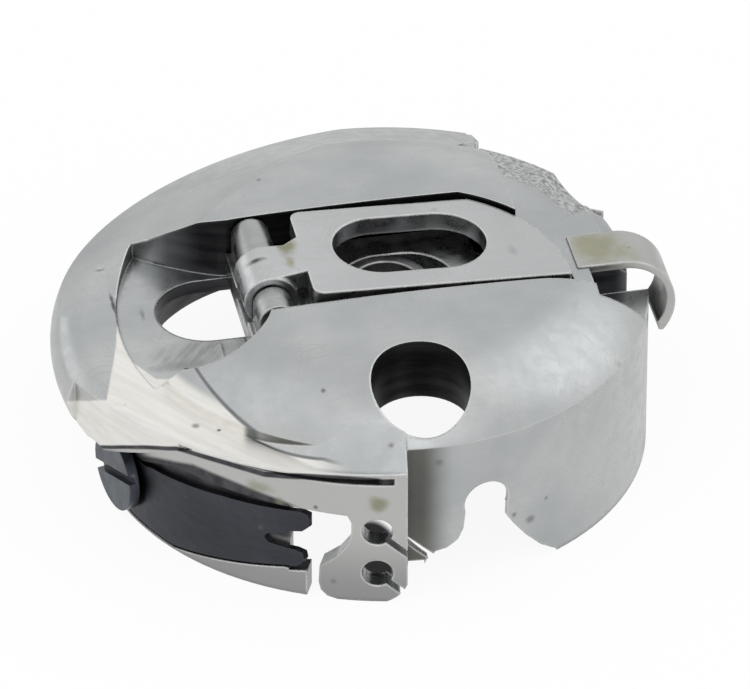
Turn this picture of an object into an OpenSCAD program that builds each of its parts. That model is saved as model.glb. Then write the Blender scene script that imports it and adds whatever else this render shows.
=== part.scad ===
// Bobbin case for a large rotary sewing hook, seen domed side up.
// Millimetres. The origin is on the axis of the cup, in the plane of its open rim.
// +X runs along the latch towards the position finger, +Z towards the domed top.

/* [Cup] */
// Outer radius of the cup wall on its open side
cup_r = 14.35; // [14.1:0.05:14.6]
// Thickness of that wall
wall_t = 0.95; // [0.75:0.05:1.15]
// Height of the domed top on the axis
top_h = 12.35; // [12.2:0.05:12.6]
// Radius of the nearly flat crown
crown_r = 190; // [120:5:300]
// Distance inside the cup wall where the crown turns into the shoulder
shoulder_in = 5.75; // [5.4:0.05:6.1]
// Radius of the rounded shoulder
shoulder_r = 7.8; // [7.4:0.1:8.4]

/* [Flange] */
// How far the flange stands out from the cup wall
flange_out = 4.05; // [3.7:0.05:4.4]
// Thickness of the flange, whose outer edge is fully round
flange_t = 4.2; // [3.8:0.1:4.4]
// Distance of the flange's flat upper face below the domed top
flange_drop = 3.75; // [3.6:0.05:3.85]
// Extra thickness of the wall under the flange
skirt_out = 1.25; // [1.1:0.05:1.35]
// Angle where the flange begins at the back
flange_from = 60; // [55:1:70]
// Angle of the front tab's free edge
tab_edge = 263; // [261:0.5:265]
// Slope of the ground surface between dome and flange at the back, in degrees
ground_slope = 31.4; // [30:0.1:33]
// Height of that surface 17 mm from the centre of the grinding
ground_h = 11.7; // [11.5:0.05:12]

/* [Latch channel] */
// Sideways place of the latch and its channel
latch_y = 0.15; // [0:0.05:0.3]
// Width of the channel
channel_w = 8.8; // [8.6:0.1:9]
// Depth of the channel below the domed top
channel_deep = 3.95; // [3.9:0.05:4.1]
// Thickness of the plate under the channel
floor_t = 0.8; // [0.6:0.05:1.1]
// Depth of the ledge under the lever's tip
ledge_deep = 2.05; // [1.95:0.05:2.3]
// Where the ledge under the lever's tip begins
ledge_from = 6.6; // [6.2:0.1:7.5]
// Left end of the channel between its full side walls
channel_left = -9.5; // [-9.8:0.1:-9.4]

/* [Dish and holes] */
// How far the dish reaches beyond the cup wall
dish_out = 0.4; // [0.25:0.05:0.6]
// Width of the open slot under the hinge
egg_w = 5.6; // [5:0.1:5.8]
// Centre of that slot's round end, along the latch
egg_x = -9.7; // [-9.9:0.1:-9.4]
// Centre line of that slot
egg_y = 1.5; // [1.3:0.1:1.7]
// Diameter of the round hole in the front of the dome
round_hole_d = 5.36; // [4.8:0.02:5.6]
// Distance of the round hole from the axis
round_hole_at = 11.3; // [10.9:0.1:11.5]

/* [Deck and finger] */
// Depth of the deck beside the latch tip
deck_deep = 1.25; // [1.15:0.05:1.35]
// Where the back part of the dome is cut down to the deck
deck_from = 7.7; // [7.5:0.1:8.2]
// Distance of the deck block's rounded right end inside the cup wall
deck_in = 1.2; // [1.05:0.05:1.3]
// Width of the position finger
finger_w = 3; // [2.4:0.1:3.2]
// Thickness of the position finger
finger_t = 0.45; // [0.4:0.05:0.55]
// Front face of the position finger
finger_front = -2.3; // [-2.6:0.1:-2.1]
// Outer radius of the finger's bend
finger_bend_r = 3; // [2.7:0.05:3.2]
// Length of the finger below the centre of its bend
finger_tail = 1.85; // [1.2:0.05:2]
// How much thicker the finger grows towards its tip
finger_growth = 0.15; // [0.05:0.05:0.2]
// Left end of the finger, brazed in the deck
finger_from = 10.2; // [10.1:0.1:10.8]

/* [Lever] */
// Width of the latch lever
lever_w = 7.7; // [7.3:0.1:7.9]
// Thickness of the latch lever
lever_t = 1.1; // [0.9:0.05:1.2]
// Nose-down lean of the closed lever, in degrees
lever_lean = 2.5; // [2:0.1:2.6]
// Radius of the lever's rounded tip
tip_r = 8.6; // [8:0.1:8.8]
// Width of the finger hole in the lever
lever_hole_w = 5.2; // [4.8:0.1:5.4]
// Distance between the centres of the finger hole's round ends
lever_hole_run = 3.3; // [3:0.1:3.6]
// Width of the neck between plate and hinge
neck_w = 3.45; // [3:0.05:3.6]

/* [Hinge and slide] */
// Place of the hinge along the latch
hinge_x = -6.75; // [-6.9:0.05:-6.6]
// Depth of the hinge below the domed top
hinge_deep = 1.25; // [1.15:0.05:1.3]
// Radius of the lever's knuckle
knuckle_r = 1.5; // [1.4:0.05:1.6]
// Width of the lever's knuckle
knuckle_w = 3.05; // [2.8:0.05:3.3]
// Radius of the two knuckles on the slide
ear_r = 1.05; // [0.95:0.01:1.1]
// Radius of the hinge pin
pin_r = 0.6; // [0.5:0.05:0.65]
// Thickness of the latch slide
slide_t = 1.5; // [1.3:0.05:1.55]
// Right end of the latch slide
slide_to = 5.3; // [5:0.1:5.6]
// Left end of the latch slide
slide_from = -8.1; // [-8.2:0.05:-7.9]
// Travel of the latch slide
slide_travel = 1.2; // [1:0.1:1.3]
// Width of the slide's locking tongue
tongue_w = 1.5; // [1.2:0.1:1.7]
// How far the tongue's end stands back from the stud's hole
tongue_back = 0.05; // [0.03:0.01:0.1]
// Wire thickness of the slide spring
spring_wire = 0.2; // [0.16:0.02:0.24]
// Outer diameter of the slide spring
spring_d = 1; // [0.8:0.05:1.05]
// Turns of the slide spring
spring_turns = 8; // [6:1:10]

/* [Centre sleeve] */
// Radius of the hole for the hook's centre stud
stud_r = 1.8; // [1.6:0.05:1.9]
// Outer radius of the sleeve where it passes through the case
sleeve_r = 2.35; // [2.25:0.05:2.45]
// Outer radius of the sleeve inside the chamber
sleeve_foot_r = 2.9; // [2.7:0.1:3.1]
// Height of the sleeve
sleeve_h = 5.7; // [5:0.1:6.5]
// Depth of the sleeve's upper rim below the domed top
sleeve_deep = 2.25; // [2.15:0.05:2.45]

/* [Tension spring] */
// Thickness of the leaf
leaf_t = 0.35; // [0.3:0.01:0.4]
// Height of the leaf's upper edge
leaf_top = 5.5; // [5.3:0.05:5.6]
// Length of the leaf's flat outline along the wall
leaf_l = 15.4; // [14.8:0.1:15.6]
// Radius of the seat that the leaf lies on
leaf_seat_r = 15; // [14.94:0.02:15.1]
// How far the centre of that seat lies left of the axis
leaf_shift = 0.65; // [0.5:0.05:0.8]
// Angle of the tension screw
screw_angle = 195.5; // [195:0.5:197]
// Height of the tension screw
screw_z = 2.7; // [2.6:0.05:2.8]
// Radius of the screw head
screw_head_r = 2.2; // [1.9:0.05:2.25]
// Thickness of the screw head
screw_head_t = 0.6; // [0.55:0.05:0.8]
// Radius of the screw shank
screw_r = 0.9; // [0.7:0.05:1]

/* [Tab and thread path] */
// Diameter of the two thread holes
thread_hole_d = 1.7; // [1.4:0.05:1.8]
// Width of the slots that open into the thread holes
thread_slot_w = 0.38; // [0.3:0.02:0.45]
// Height of the upper thread hole
thread_hole_high = 4.65; // [4.5:0.05:4.8]
// Height of the lower thread hole
thread_hole_low = 1.9; // [1.8:0.05:2]
// Height of the thread groove under the domed plate
groove_h = 0.55; // [0.4:0.05:0.6]

/* [Clearances] */
// Gap beside the slide and the hinge knuckles
side_gap = 0.2; // [0.15:0.01:0.25]
// Gap under the slide
slide_gap = 0.1; // [0.06:0.01:0.12]
// Radial clearance of the turning pins
pin_gap = 0.04; // [0.02:0.01:0.06]
// Radial room between the slide and the sleeve
sleeve_gap = 0.2; // [0.15:0.01:0.25]
// Gap between the screw head and the leaf
head_gap = 0.05; // [0.04:0.01:0.1]

/* [Hidden] */

$fn = 96;
far = 40;
eps = 0.01;

chamber_r = cup_r - wall_t;
shoulder_start = cup_r - shoulder_in;
skirt_r = cup_r + skirt_out;
flange_r = cup_r + flange_out;
dish_r = cup_r + dish_out;
deck_end_r = cup_r - deck_in;
flange_top = top_h - flange_drop;
channel_floor = top_h - channel_deep;
chamber_depth = channel_floor - floor_t;
ledge_h = top_h - ledge_deep;
deck_h = top_h - deck_deep;
hinge_z = top_h - hinge_deep;
sleeve_top = top_h - sleeve_deep;
sleeve_low = sleeve_top - sleeve_h;

crown_angle = asin(shoulder_start / crown_r);
crown_end_h = top_h - crown_r * (1 - cos(crown_angle));
// A hair of lift lets the shoulder cross the crown instead of grazing it
shoulder_lift = 0.001;
shoulder_x = shoulder_start - shoulder_r * sin(crown_angle);
shoulder_z = crown_end_h - shoulder_r * cos(crown_angle) + shoulder_lift;
rim_h = shoulder_z + sqrt(pow(shoulder_r, 2) - pow(cup_r - shoulder_x, 2));

flange_edge_r = flange_t / 2;
flange_edge_x = flange_r - flange_edge_r;
flange_low = flange_top - flange_t;
plate_low = flange_top - 0.3;
plate_lip = 0.06;
front_wall_r = skirt_r - 0.05;
// Straight slope that joins the shoulder to the flange's round edge at the back
slope_angle = 28.65;
slope_dip = 0.01;
slope_from = [shoulder_x + (shoulder_r - slope_dip) * sin(slope_angle),
  shoulder_z + (shoulder_r - slope_dip) * cos(slope_angle)];
slope_to = [flange_edge_x + (flange_edge_r - slope_dip) * sin(slope_angle),
  flange_top - flange_edge_r + (flange_edge_r - slope_dip) * cos(slope_angle)];
// The same for the slope that joins the shoulder to the tab's plate
tab_slope_to = [skirt_r - 0.1, flange_top];
tab_slope_run = tab_slope_to - [shoulder_x, shoulder_z];
tab_slope_turn = atan2(tab_slope_run[1], tab_slope_run[0]) + acos(shoulder_r / norm(tab_slope_run));
tab_slope_from = [shoulder_x, shoulder_z]
  + (shoulder_r - slope_dip) * [cos(tab_slope_turn), sin(tab_slope_turn)];
tab_slope_end = tab_slope_from + 1.03 * (tab_slope_to - tab_slope_from);
ring_room_r = 6.6;
ring_room_h = 0.9;

channel_front = latch_y - channel_w / 2;
channel_back = latch_y + channel_w / 2;
slide_low = channel_floor + slide_gap;
slide_top = slide_low + slide_t;
slide_front = channel_front + side_gap;
slide_back = channel_back - side_gap;
lever_front = latch_y - lever_w / 2;
lever_back = latch_y + lever_w / 2;
lever_top = 1.5;
lever_left = 2.05;
tip_x = 0.9;
tip_y = -3.4;
lever_hole_x = 1.31;
lever_hole_y = 0.32;
knuckle_y = latch_y - 0.68;
knuckle_front = knuckle_y - knuckle_w / 2;
knuckle_back = knuckle_y + knuckle_w / 2;
neck_front = latch_y - 1.55;
ear_gap = 0.12;

finger_back = finger_front + finger_w;
finger_top = deck_h + 0.08;
finger_bend_x = deck_end_r - 0.45;
finger_bend_z = finger_top - finger_bend_r;
finger_inner_r = finger_bend_r - finger_t - finger_growth;
finger_end_r = 0.42;
notch_from = 10.8;
notch_front = -5.1;
notch_floor = 9.2;
opener_low = 2.8;
opener_back = 5.3;

leaf_in_r = leaf_seat_r + eps;
leaf_out_r = leaf_in_r + leaf_t;
leaf_wall_r = leaf_out_r + eps;
leaf_tip = 6.95;
leaf_at = [-leaf_shift, 0.12, 0];
leaf_mid = 219;
leaf_from = 189;
leaf_to = 246;
screw_face_r = leaf_out_r + leaf_shift;
relief_r = cup_r + 0.1;
window_mid = 245.5;
gap_mid = 282;
thread_hole_angle = 257;
thread_slot_dip = 43;

peg_x = -0.9;
peg_r = 0.4;
spring_y = slide_front + 0.5;
spring_z = slide_low + slide_t / 2;
spring_from = peg_x + peg_r + 0.02;
spring_notch_to = 4.5;
spring_to = spring_notch_to - 0.02;

// A ring or disc sector of the given height, between two angles
module sector(from, to, r_in, r_out, low, high) {
  rotate([0, 0, from])
    rotate_extrude(angle = to - from)
      translate([r_in, low])
        square([r_out - r_in, high - low]);
}

// A block between two corners
module block(a, b) {
  translate(a)
    cube(b - a);
}

// A flat outline stood up against the wall: its X is along the wall, its Y is height
module through_wall(angle, r_in, r_out) {
  rotate([0, 0, angle - 270])
    translate([0, -r_in, 0])
      rotate([90, 0, 0])
        linear_extrude(height = r_out - r_in)
          children();
}

// Everything above a plane that falls by slope degrees in the given direction
module above_plane(direction, slope, at, height) {
  rotate([0, 0, direction])
    translate([at, 0, height])
      rotate([0, slope, 0])
        translate([-far, -far, 0])
          cube([2 * far, 2 * far, far]);
}

// Half section of the cup with its domed top
module dome_section() {
  intersection() {
    translate([0, top_h - crown_r])
      circle(r = crown_r, $fn = 720);
    square([shoulder_start, top_h]);
  }
  intersection() {
    translate([shoulder_x, shoulder_z])
      circle(r = shoulder_r);
    translate([shoulder_start - 0.3, shoulder_z])
      square([cup_r - shoulder_start + 0.3, shoulder_r]);
  }
  square([cup_r, rim_h]);
}

// Half section of the skirt with the round-edged flange
module flange_section() {
  translate([chamber_r, 0])
    square([skirt_r - chamber_r, flange_top]);
  translate([chamber_r, flange_low])
    square([flange_edge_x - chamber_r, flange_t]);
  translate([flange_edge_x, flange_top - flange_edge_r])
    circle(r = flange_edge_r);
}

// Radius of the domed plate's edge along the front, growing towards the left
function plate_edge_r(a) = skirt_r + plate_lip + 2.2 * pow(max(0, tab_edge - a) / 72, 1.6);

// Outline of the front plate, from the tab to the flange
module plate_outline() {
  polygon(concat([[0, 0]], [for (a = [188 : 2.5 : tab_edge + 4]) plate_edge_r(a) * [cos(a), sin(a)]]));
}

// The wall under the leaf is thicker, so that the leaf lies flush in it
module leaf_wall() {
  intersection() {
    translate(leaf_at)
      cylinder(r = leaf_wall_r, h = plate_low);
    sector(187, 250, chamber_r + 0.3, far / 2, 0, plate_low);
  }
}

// Straight slope between dome and flange around the back, run out to the left
module back_slope() {
  difference() {
    rotate([0, 0, flange_from])
      rotate_extrude(angle = 112)
        polygon([slope_from, slope_to, [slope_to[0], flange_top - 0.5], [slope_from[0], flange_top - 0.5]]);
    above_plane(185, 25.4, dish_r - 0.65, flange_top);
  }
}

// The dome runs straight down to the tab's plate, up to a ground line on the left
module front_slope() {
  difference() {
    rotate([0, 0, 212])
      rotate_extrude(angle = tab_edge - 212)
        polygon([tab_slope_from, tab_slope_end, [tab_slope_end[0], flange_top - 0.5],
          [tab_slope_from[0], flange_top - 0.5]]);
    above_plane(221.1, 32, dish_r - 0.55, flange_top);
  }
}

// The back of the flange is ground off round a centre at the front right
module back_grinding() {
  run = 13;
  ground_drop = tan(ground_slope);
  translate([4.06, -5.01, 0])
    rotate_extrude()
      polygon([[17 - run, ground_h + run * ground_drop], [17 + run, ground_h - run * ground_drop],
        [17 + run, far], [17 - run, far]]);
}

// Room for the tension spring: the flange is milled away below a leaning plane
module spring_room() {
  difference() {
    sector(187, tab_edge + 3, chamber_r + 0.5, far / 2, -1, plate_low);
    above_plane(117, 26.5, -4, plate_low);
    cylinder(r = front_wall_r, h = far);
    translate(leaf_at)
      cylinder(r = leaf_wall_r, h = far);
  }
}

// The front plate's edge, trimmed to its own outline
module plate_trim() {
  difference() {
    sector(189, tab_edge + 3, skirt_r + plate_lip / 2, far / 2, -1, top_h);
    translate([0, 0, -2])
      linear_extrude(height = top_h + 4)
        plate_outline();
  }
}

// The narrow groove that leads the thread under the domed plate
module thread_groove() {
  sector(217, tab_edge - 2.6, skirt_r - 0.9, far / 2, plate_low - groove_h, plate_low - 0.02);
  intersection() {
    sector(200, 217.5, skirt_r - 0.5, far / 2, 3, plate_low);
    difference() {
      above_plane(117, 26.5, -4, plate_low - 0.3);
      above_plane(117, 26.5, -4, plate_low);
    }
  }
}

// Straight channel for the latch, round at the lever's tip
module latch_channel() {
  translate([0, 0, channel_floor])
    linear_extrude(height = far)
      intersection() {
        translate([channel_left, channel_front])
          square([ledge_from - channel_left, channel_w]);
        channel_outline();
      }
  translate([0, 0, ledge_h])
    linear_extrude(height = far)
      channel_outline();
}

module channel_outline() {
  translate([channel_left, channel_front])
    square([tip_x - channel_left, channel_w]);
  intersection() {
    translate([tip_x - 1, channel_front])
      square([tip_r + 3, channel_w]);
    translate([tip_x, tip_y])
      circle(r = tip_r + 0.3);
  }
}

// Plan of the dish: the channel's back wall flares out to the left
flare_x = -8;
module dish_plan() {
  polygon(concat(
    [[flare_x, -far], [flare_x, channel_back]],
    [for (t = [0 : 0.5 : 7]) [flare_x - t, channel_back + 0.32 * pow(t, 1.35)]],
    [[-far, channel_back + 5], [-far, -far]]));
}

// Scooped dish left of the hinge, with a leaning and hollow front side
module dish() {
  scoop_r = 3.9;
  intersection() {
    translate([0, 0, channel_floor])
      cylinder(r = dish_r, h = far);
    union() {
      intersection() {
        translate([0, 0, channel_floor])
          linear_extrude(height = far)
            dish_plan();
        above_plane(130.3, 49.3, 0, top_h + 1.8);
      }
      translate([egg_x - 1.1, -2.9, channel_floor + scoop_r - 0.15])
        sphere(r = scoop_r);
    }
  }
}

// The slot that opens the dish into the bobbin chamber
module egg_slot() {
  translate([0, 0, chamber_depth - 1])
    linear_extrude(height = far) {
      translate([egg_x, egg_y])
        circle(d = egg_w);
      translate([egg_x, egg_y - egg_w / 2])
        square([flare_x + 0.9 - egg_x, egg_w]);
    }
}

// Raised rim of the deck's sloping border
module deck_border() {
  intersection() {
    sector(15, flange_from - 2, cup_r - 2, cup_r - eps, flange_top - 1, flange_top + 1.35);
    block([deck_from + 0.03, 0, 0], [far, far, far]);
  }
}

// The back right of the dome is cut down to a deck with a sloping, hollowed border
module deck_cut() {
  deck_rim = cup_r - 3.65;
  deck_fall = 1.45;
  hollow_r = 3.9;
  block([deck_from, channel_front, deck_h], [far, far, far]);
  intersection() {
    rotate([0, 0, 14])
      rotate_extrude(angle = 80)
        polygon([[deck_rim, deck_h], [cup_r + eps, deck_h - deck_fall],
          [far, deck_h - deck_fall - (far - cup_r) * 0.5], [far, far], [deck_rim, far]]);
    block([deck_from, 0, -far], [far, far, far]);
  }
  rotate([0, 0, 29])
    translate([cup_r, 0, deck_h - 2.48])
      rotate([0, 126, 0])
        translate([-hollow_r, 0, -far / 4])
          cylinder(r = hollow_r, h = far / 2);
  intersection() {
    sector(0, flange_from + 10, cup_r, far / 2, -1, far);
    block([deck_from + 0.4, 0, -2], [far, far, far]);
  }
}

// Seat of the position finger, the notch before it and the opening behind it
module finger_cuts() {
  block([finger_from, finger_front, finger_top - finger_t], [far, finger_back, far]);
  block([notch_from, notch_front, notch_floor], [far, finger_front, far]);
  difference() {
    block([notch_from + 1, finger_front, opener_low], [far, opener_back, far]);
    cylinder(r = deck_end_r, h = far);
  }
}

// Window in the wall behind the fork of the leaf, with its slit to the rim
module wall_window() {
  through_wall(window_mid, 12, far / 2)
    polygon([[-1.75, 1.45], [-0.72, 1.6], [-0.72, -1], [0.95, -1], [0.9, 0.02], [0.4, 0.15], [0.05, 0.5],
      [-0.08, 1], [-0.02, 2.1], [0.9, 2.85], [1.5, 3.7], [1.72, 4.5], [1.72, 5.2], [1.5, 5.65],
      [-1.75, 5.8]]);
}

// Shaped lower edge of the wall right of the tab, with its keyhole notch
module wall_gap() {
  through_wall(gap_mid, 12, far / 2) {
    polygon([[-5.3, -1], [-4.9, 0.1], [-4.3, 0.35], [-3.9, 1.1], [-3.6, 1.8], [-3.1, 2.3], [-2.5, 2.45],
      [-1.9, 2.9], [-1.6, 3.6], [-1.5, 4.6], [0.95, 4.6], [0.93, 3.7], [1.3, 3.1], [2.1, 2.0], [3.1, 0.9],
      [4.1, 0.15], [4.6, -1]]);
    translate([-0.28, 5.05])
      circle(r = 1.27);
  }
}

// Raised lower edge of the wall at the back left
module back_gap() {
  through_wall(128, 8, far / 2)
    polygon([[-9, -1], [-8.6, 1.6], [-7.8, 2.1], [-2, 2.41], [4, 3.44], [6.2, 3.6], [6.9, 3.2], [7.2, -1]]);
}

// Round thread holes in the tab, each with a slot that lets the thread in
module thread_holes() {
  for (z = [thread_hole_low, thread_hole_high])
    through_wall(thread_hole_angle, chamber_r - 1, far / 2)
      translate([0, z]) {
        circle(d = thread_hole_d);
        rotate(-thread_slot_dip)
          translate([0, -thread_slot_w / 2])
            square([4.6, thread_slot_w]);
      }
}

// What is cut off below the tab's rounded lower corner
module tab_corner() {
  corner_r = 1.9;
  inset = 1.78;
  through_wall(tab_edge, 12, far / 2)
    difference() {
      translate([-inset, -1])
        square([inset + 1, inset + 1]);
      translate([-inset, inset])
        circle(r = corner_r);
    }
}

module case_body() {
  color([0.72, 0.73, 0.73])
    difference() {
      union() {
        rotate_extrude()
          dome_section();
        rotate([0, 0, flange_from])
          rotate_extrude(angle = tab_edge - flange_from)
            flange_section();
        leaf_wall();
        back_slope();
        front_slope();
        deck_border();
      }
      translate([0, 0, -1])
        cylinder(r = chamber_r, h = chamber_depth + 1);
      sector(205, tab_edge - 1.5, chamber_r - 1, relief_r, -1, 6.6);
      sector(283, 292, chamber_r - 1, cup_r - 0.3, -1, 6.3);
      sector(225, 315, ring_room_r, chamber_r - 0.1, chamber_depth - 1, chamber_depth + ring_room_h);
      cylinder(r = sleeve_r, h = far);
      spring_room();
      plate_trim();
      thread_groove();
      leaf_seat();
      latch_channel();
      dish();
      egg_slot();
      rotate([0, 0, 268.2])
        translate([round_hole_at, 0, 0])
          cylinder(d = round_hole_d, h = far);
      back_grinding();
      deck_cut();
      finger_cuts();
      wall_window();
      wall_gap();
      back_gap();
      thread_holes();
      tab_corner();
      rotate([0, 0, screw_angle])
        translate([0, 0, screw_z])
          rotate([0, 90, 0]) {
            cylinder(r = screw_r + pin_gap, h = far);
            translate([0, 0, screw_face_r])
              cylinder(r = screw_head_r + side_gap, h = far);
          }
    }
  color([0.72, 0.73, 0.73])
    translate([peg_x, spring_y, channel_floor - 0.5])
      cylinder(r = peg_r, h = slide_t + 0.4);
}

// Side view of the finger: a strap bent down in one arc that ends in a rounded claw
module finger_side() {
  inner_x = finger_bend_x + finger_growth;
  inner_z = finger_bend_z + finger_growth;
  difference() {
    union() {
      translate([finger_from, finger_bend_z])
        square([finger_bend_x - finger_from, finger_bend_r]);
      translate([finger_bend_x, finger_bend_z])
        intersection() {
          circle(r = finger_bend_r);
          translate([0, -finger_tail])
            square([finger_bend_r, finger_tail + finger_bend_r]);
        }
    }
    translate([0, inner_z - far])
      square([inner_x, far + finger_inner_r]);
    translate([inner_x, inner_z])
      circle(r = finger_inner_r);
    translate([0, finger_bend_z - finger_tail - 1])
      square([inner_x + finger_inner_r - 0.45, 1.44]);
    difference() {
      translate([finger_bend_x, finger_bend_z - finger_tail - 1])
        square([finger_bend_r, 1 + finger_end_r]);
      translate([inner_x + 2.15, finger_bend_z - finger_tail + finger_end_r])
        circle(r = finger_end_r);
    }
  }
}

// Hooked finger that keeps the case from turning in the machine
module position_finger() {
  color([0.66, 0.65, 0.6])
    translate([0, finger_back, 0])
      rotate([90, 0, 0])
        linear_extrude(height = finger_w)
          finger_side();
}

// Tube that the hook's stud enters and the bobbin turns on
module centre_sleeve() {
  color([0.6, 0.6, 0.6])
    difference() {
      union() {
        translate([0, 0, sleeve_low])
          cylinder(r = sleeve_foot_r, h = chamber_depth - sleeve_low);
        translate([0, 0, sleeve_low])
          cylinder(r = sleeve_r, h = sleeve_top - sleeve_low);
      }
      translate([0, 0, sleeve_low - 1])
        cylinder(r = stud_r, h = far);
      block([-sleeve_r - 1, -tongue_w / 2 - side_gap, slide_low - slide_gap],
        [0, tongue_w / 2 + side_gap, far]);
    }
}

// Flat lever with the finger hole, a neck and the middle hinge knuckle
module latch_lever() {
  color([0.74, 0.75, 0.75])
    translate([hinge_x, 0, hinge_z])
      rotate([0, lever_lean, 0])
        difference() {
          union() {
            translate([-hinge_x, 0, lever_top - lever_t])
              linear_extrude(height = lever_t)
                lever_plan();
            translate([0, 0, lever_top - lever_t])
              linear_extrude(height = lever_t)
                polygon([[0, knuckle_front], [lever_left + 0.5, neck_front],
                  [lever_left + 0.5, neck_front + neck_w], [ear_r + ear_gap, knuckle_back],
                  [0, knuckle_back]]);
            translate([0, knuckle_back, 0])
              rotate([90, 0, 0])
                cylinder(r = knuckle_r, h = knuckle_w);
          }
          translate([0, far / 2, 0])
            rotate([90, 0, 0])
              cylinder(r = pin_r + pin_gap, h = far);
          translate([-hinge_x, 0, 0])
            linear_extrude(height = far)
              lever_hole();
        }
}

// Plan of the lever's plate, measured from the cup's axis
module lever_plan() {
  corner_r = 0.6;
  left = hinge_x + lever_left;
  intersection() {
    union() {
      translate([left, lever_front + corner_r])
        square([far, lever_w - 2 * corner_r]);
      translate([left + corner_r, lever_front])
        square([far, lever_w]);
      for (y = [lever_front + corner_r, lever_back - corner_r])
        translate([left + corner_r, y])
          circle(r = corner_r);
    }
    union() {
      translate([left - 1, lever_front - 1])
        square([tip_x - left + 1, lever_w + 2]);
      translate([tip_x, tip_y])
        circle(r = tip_r);
    }
  }
}

module lever_hole() {
  for (side = [-1, 1])
    translate([lever_hole_x + side * lever_hole_run / 2, lever_hole_y])
      circle(d = lever_hole_w);
  translate([lever_hole_x - lever_hole_run / 2, lever_hole_y - lever_hole_w / 2])
    square([lever_hole_run, lever_hole_w]);
}

module hinge_pin() {
  color([0.55, 0.56, 0.57])
    translate([hinge_x, slide_back, hinge_z])
      rotate([90, 0, 0])
        cylinder(r = pin_r, h = slide_back - slide_front);
}

// Plate under the lever that locks on the stud, with the two outer knuckles
module latch_slide() {
  color([0.62, 0.63, 0.64])
    difference() {
      union() {
        block([slide_from, slide_front, slide_low], [slide_to, slide_back, slide_top]);
        slide_ear(slide_front, knuckle_front - ear_gap);
        slide_ear(knuckle_back + ear_gap, slide_back);
      }
      translate([0, 0, slide_low - 1])
        linear_extrude(height = slide_t + 1.01)
          difference() {
            union() {
              circle(r = sleeve_r + sleeve_gap);
              translate([slide_travel, 0])
                circle(r = sleeve_r + sleeve_gap);
              translate([0, -sleeve_r - sleeve_gap])
                square([slide_travel, 2 * (sleeve_r + sleeve_gap)]);
            }
            translate([-sleeve_r - 1, -tongue_w / 2])
              square([sleeve_r + 1 - stud_r - tongue_back, tongue_w]);
          }
      block([slide_from - 1, knuckle_front - ear_gap, slide_low + 0.7],
        [hinge_x + lever_left + 0.4, knuckle_back + ear_gap, far]);
      block([peg_x - peg_r - 0.2, slide_front - 1, slide_low - 1],
        [spring_notch_to, spring_y + spring_d / 2 + 0.05, far]);
      translate([hinge_x, far / 2, hinge_z])
        rotate([90, 0, 0])
          cylinder(r = pin_r, h = far);
    }
}

module slide_ear(from, to) {
  translate([hinge_x, to, hinge_z])
    rotate([90, 0, 0])
      cylinder(r = ear_r, h = to - from);
  block([hinge_x - ear_r, from, slide_top - eps], [hinge_x + ear_r, to, hinge_z]);
}

// Coil spring that pushes the slide back to its lock
module slide_spring() {
  sides = 8;
  steps = 14;
  coil_r = (spring_d - spring_wire) / 2;
  span = spring_to - spring_from - spring_wire;
  count = spring_turns * steps;
  points = [for (i = [0 : count]) for (k = [0 : sides - 1])
    let (a = 360 * i / steps, b = 360 * k / sides, r = coil_r + spring_wire / 2 * cos(b))
      [spring_wire / 2 * (1 + sin(b)) + span * i / count, r * cos(a), r * sin(a)]];
  walls = [for (i = [0 : count - 1]) for (k = [0 : sides - 1])
    [i * sides + k, i * sides + (k + 1) % sides, (i + 1) * sides + (k + 1) % sides, (i + 1) * sides + k]];
  ends = [[for (k = [sides - 1 : -1 : 0]) k], [for (k = [0 : sides - 1]) count * sides + k]];
  color([0.5, 0.5, 0.52])
    translate([spring_from, spring_y, spring_z])
      polyhedron(points = points, faces = concat(walls, ends), convexity = 10);
}

// Leaf that presses on the thread, forked at its free end
module tension_spring() {
  color([0.2, 0.2, 0.23])
    difference() {
      translate(leaf_at)
        intersection() {
          sector(leaf_from, leaf_to, leaf_in_r, leaf_out_r, -1, leaf_top + 1);
          through_wall(leaf_mid, 12, far / 2)
            leaf_outline();
        }
      rotate([0, 0, screw_angle])
        translate([0, 0, screw_z])
          rotate([0, 90, 0])
            cylinder(r = screw_r + pin_gap, h = far);
    }
}

// Flat shape of the leaf, along the wall and up
module leaf_outline() {
  translate([leaf_tip, leaf_top])
    polygon([for (p = [[-15.4, -4.3], [-14.4, -5.2], [-8.4, -5.25], [-1.4, -3.75], [-0.75, -3.72],
      [-0.45, -3.5], [-0.32, -3.15], [-0.4, -2.75], [-0.8, -2.6], [-1.2, -2.58], [-2.2, -2.45],
      [-2.4, -2.25], [-2.4, -2.05],
      [-2.2, -1.85], [-1, -1.4], [-0.4, -1.28], [-0.08, -0.95], [0, -0.5], [-0.15, -0.15], [-0.5, 0],
      [-2.6, -0.15], [-4.9, -0.3], [-6.4, -0.5], [-7.9, -0.7], [-10, -1], [-10.8, -1.25], [-14.4, -1.3],
      [-15.4, -1.7]]) [p[0] * leaf_l / 15.4, p[1]]]);
}

// Recess of the leaf in the wall, open towards the tab
module leaf_seat() {
  translate(leaf_at)
    intersection() {
      sector(leaf_from - 0.6, leaf_to + 1, leaf_seat_r, leaf_out_r + 0.25, -1, flange_top);
      through_wall(leaf_mid, 12, far / 2)
        translate([leaf_tip, leaf_top])
          polygon([[-leaf_l - 1, -4.4], [-leaf_l + 1, -5.35], [-8.4, -5.4], [-1.4, -3.9], [2, -3.9], [2, 0.1],
            [0, 0.2], [-3, 0.3], [-5.8, 0.35], [-8, 0.25], [-9.6, -0.4], [-11, -1.05], [-leaf_l - 1, -1.1]]);
    }
}

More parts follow.
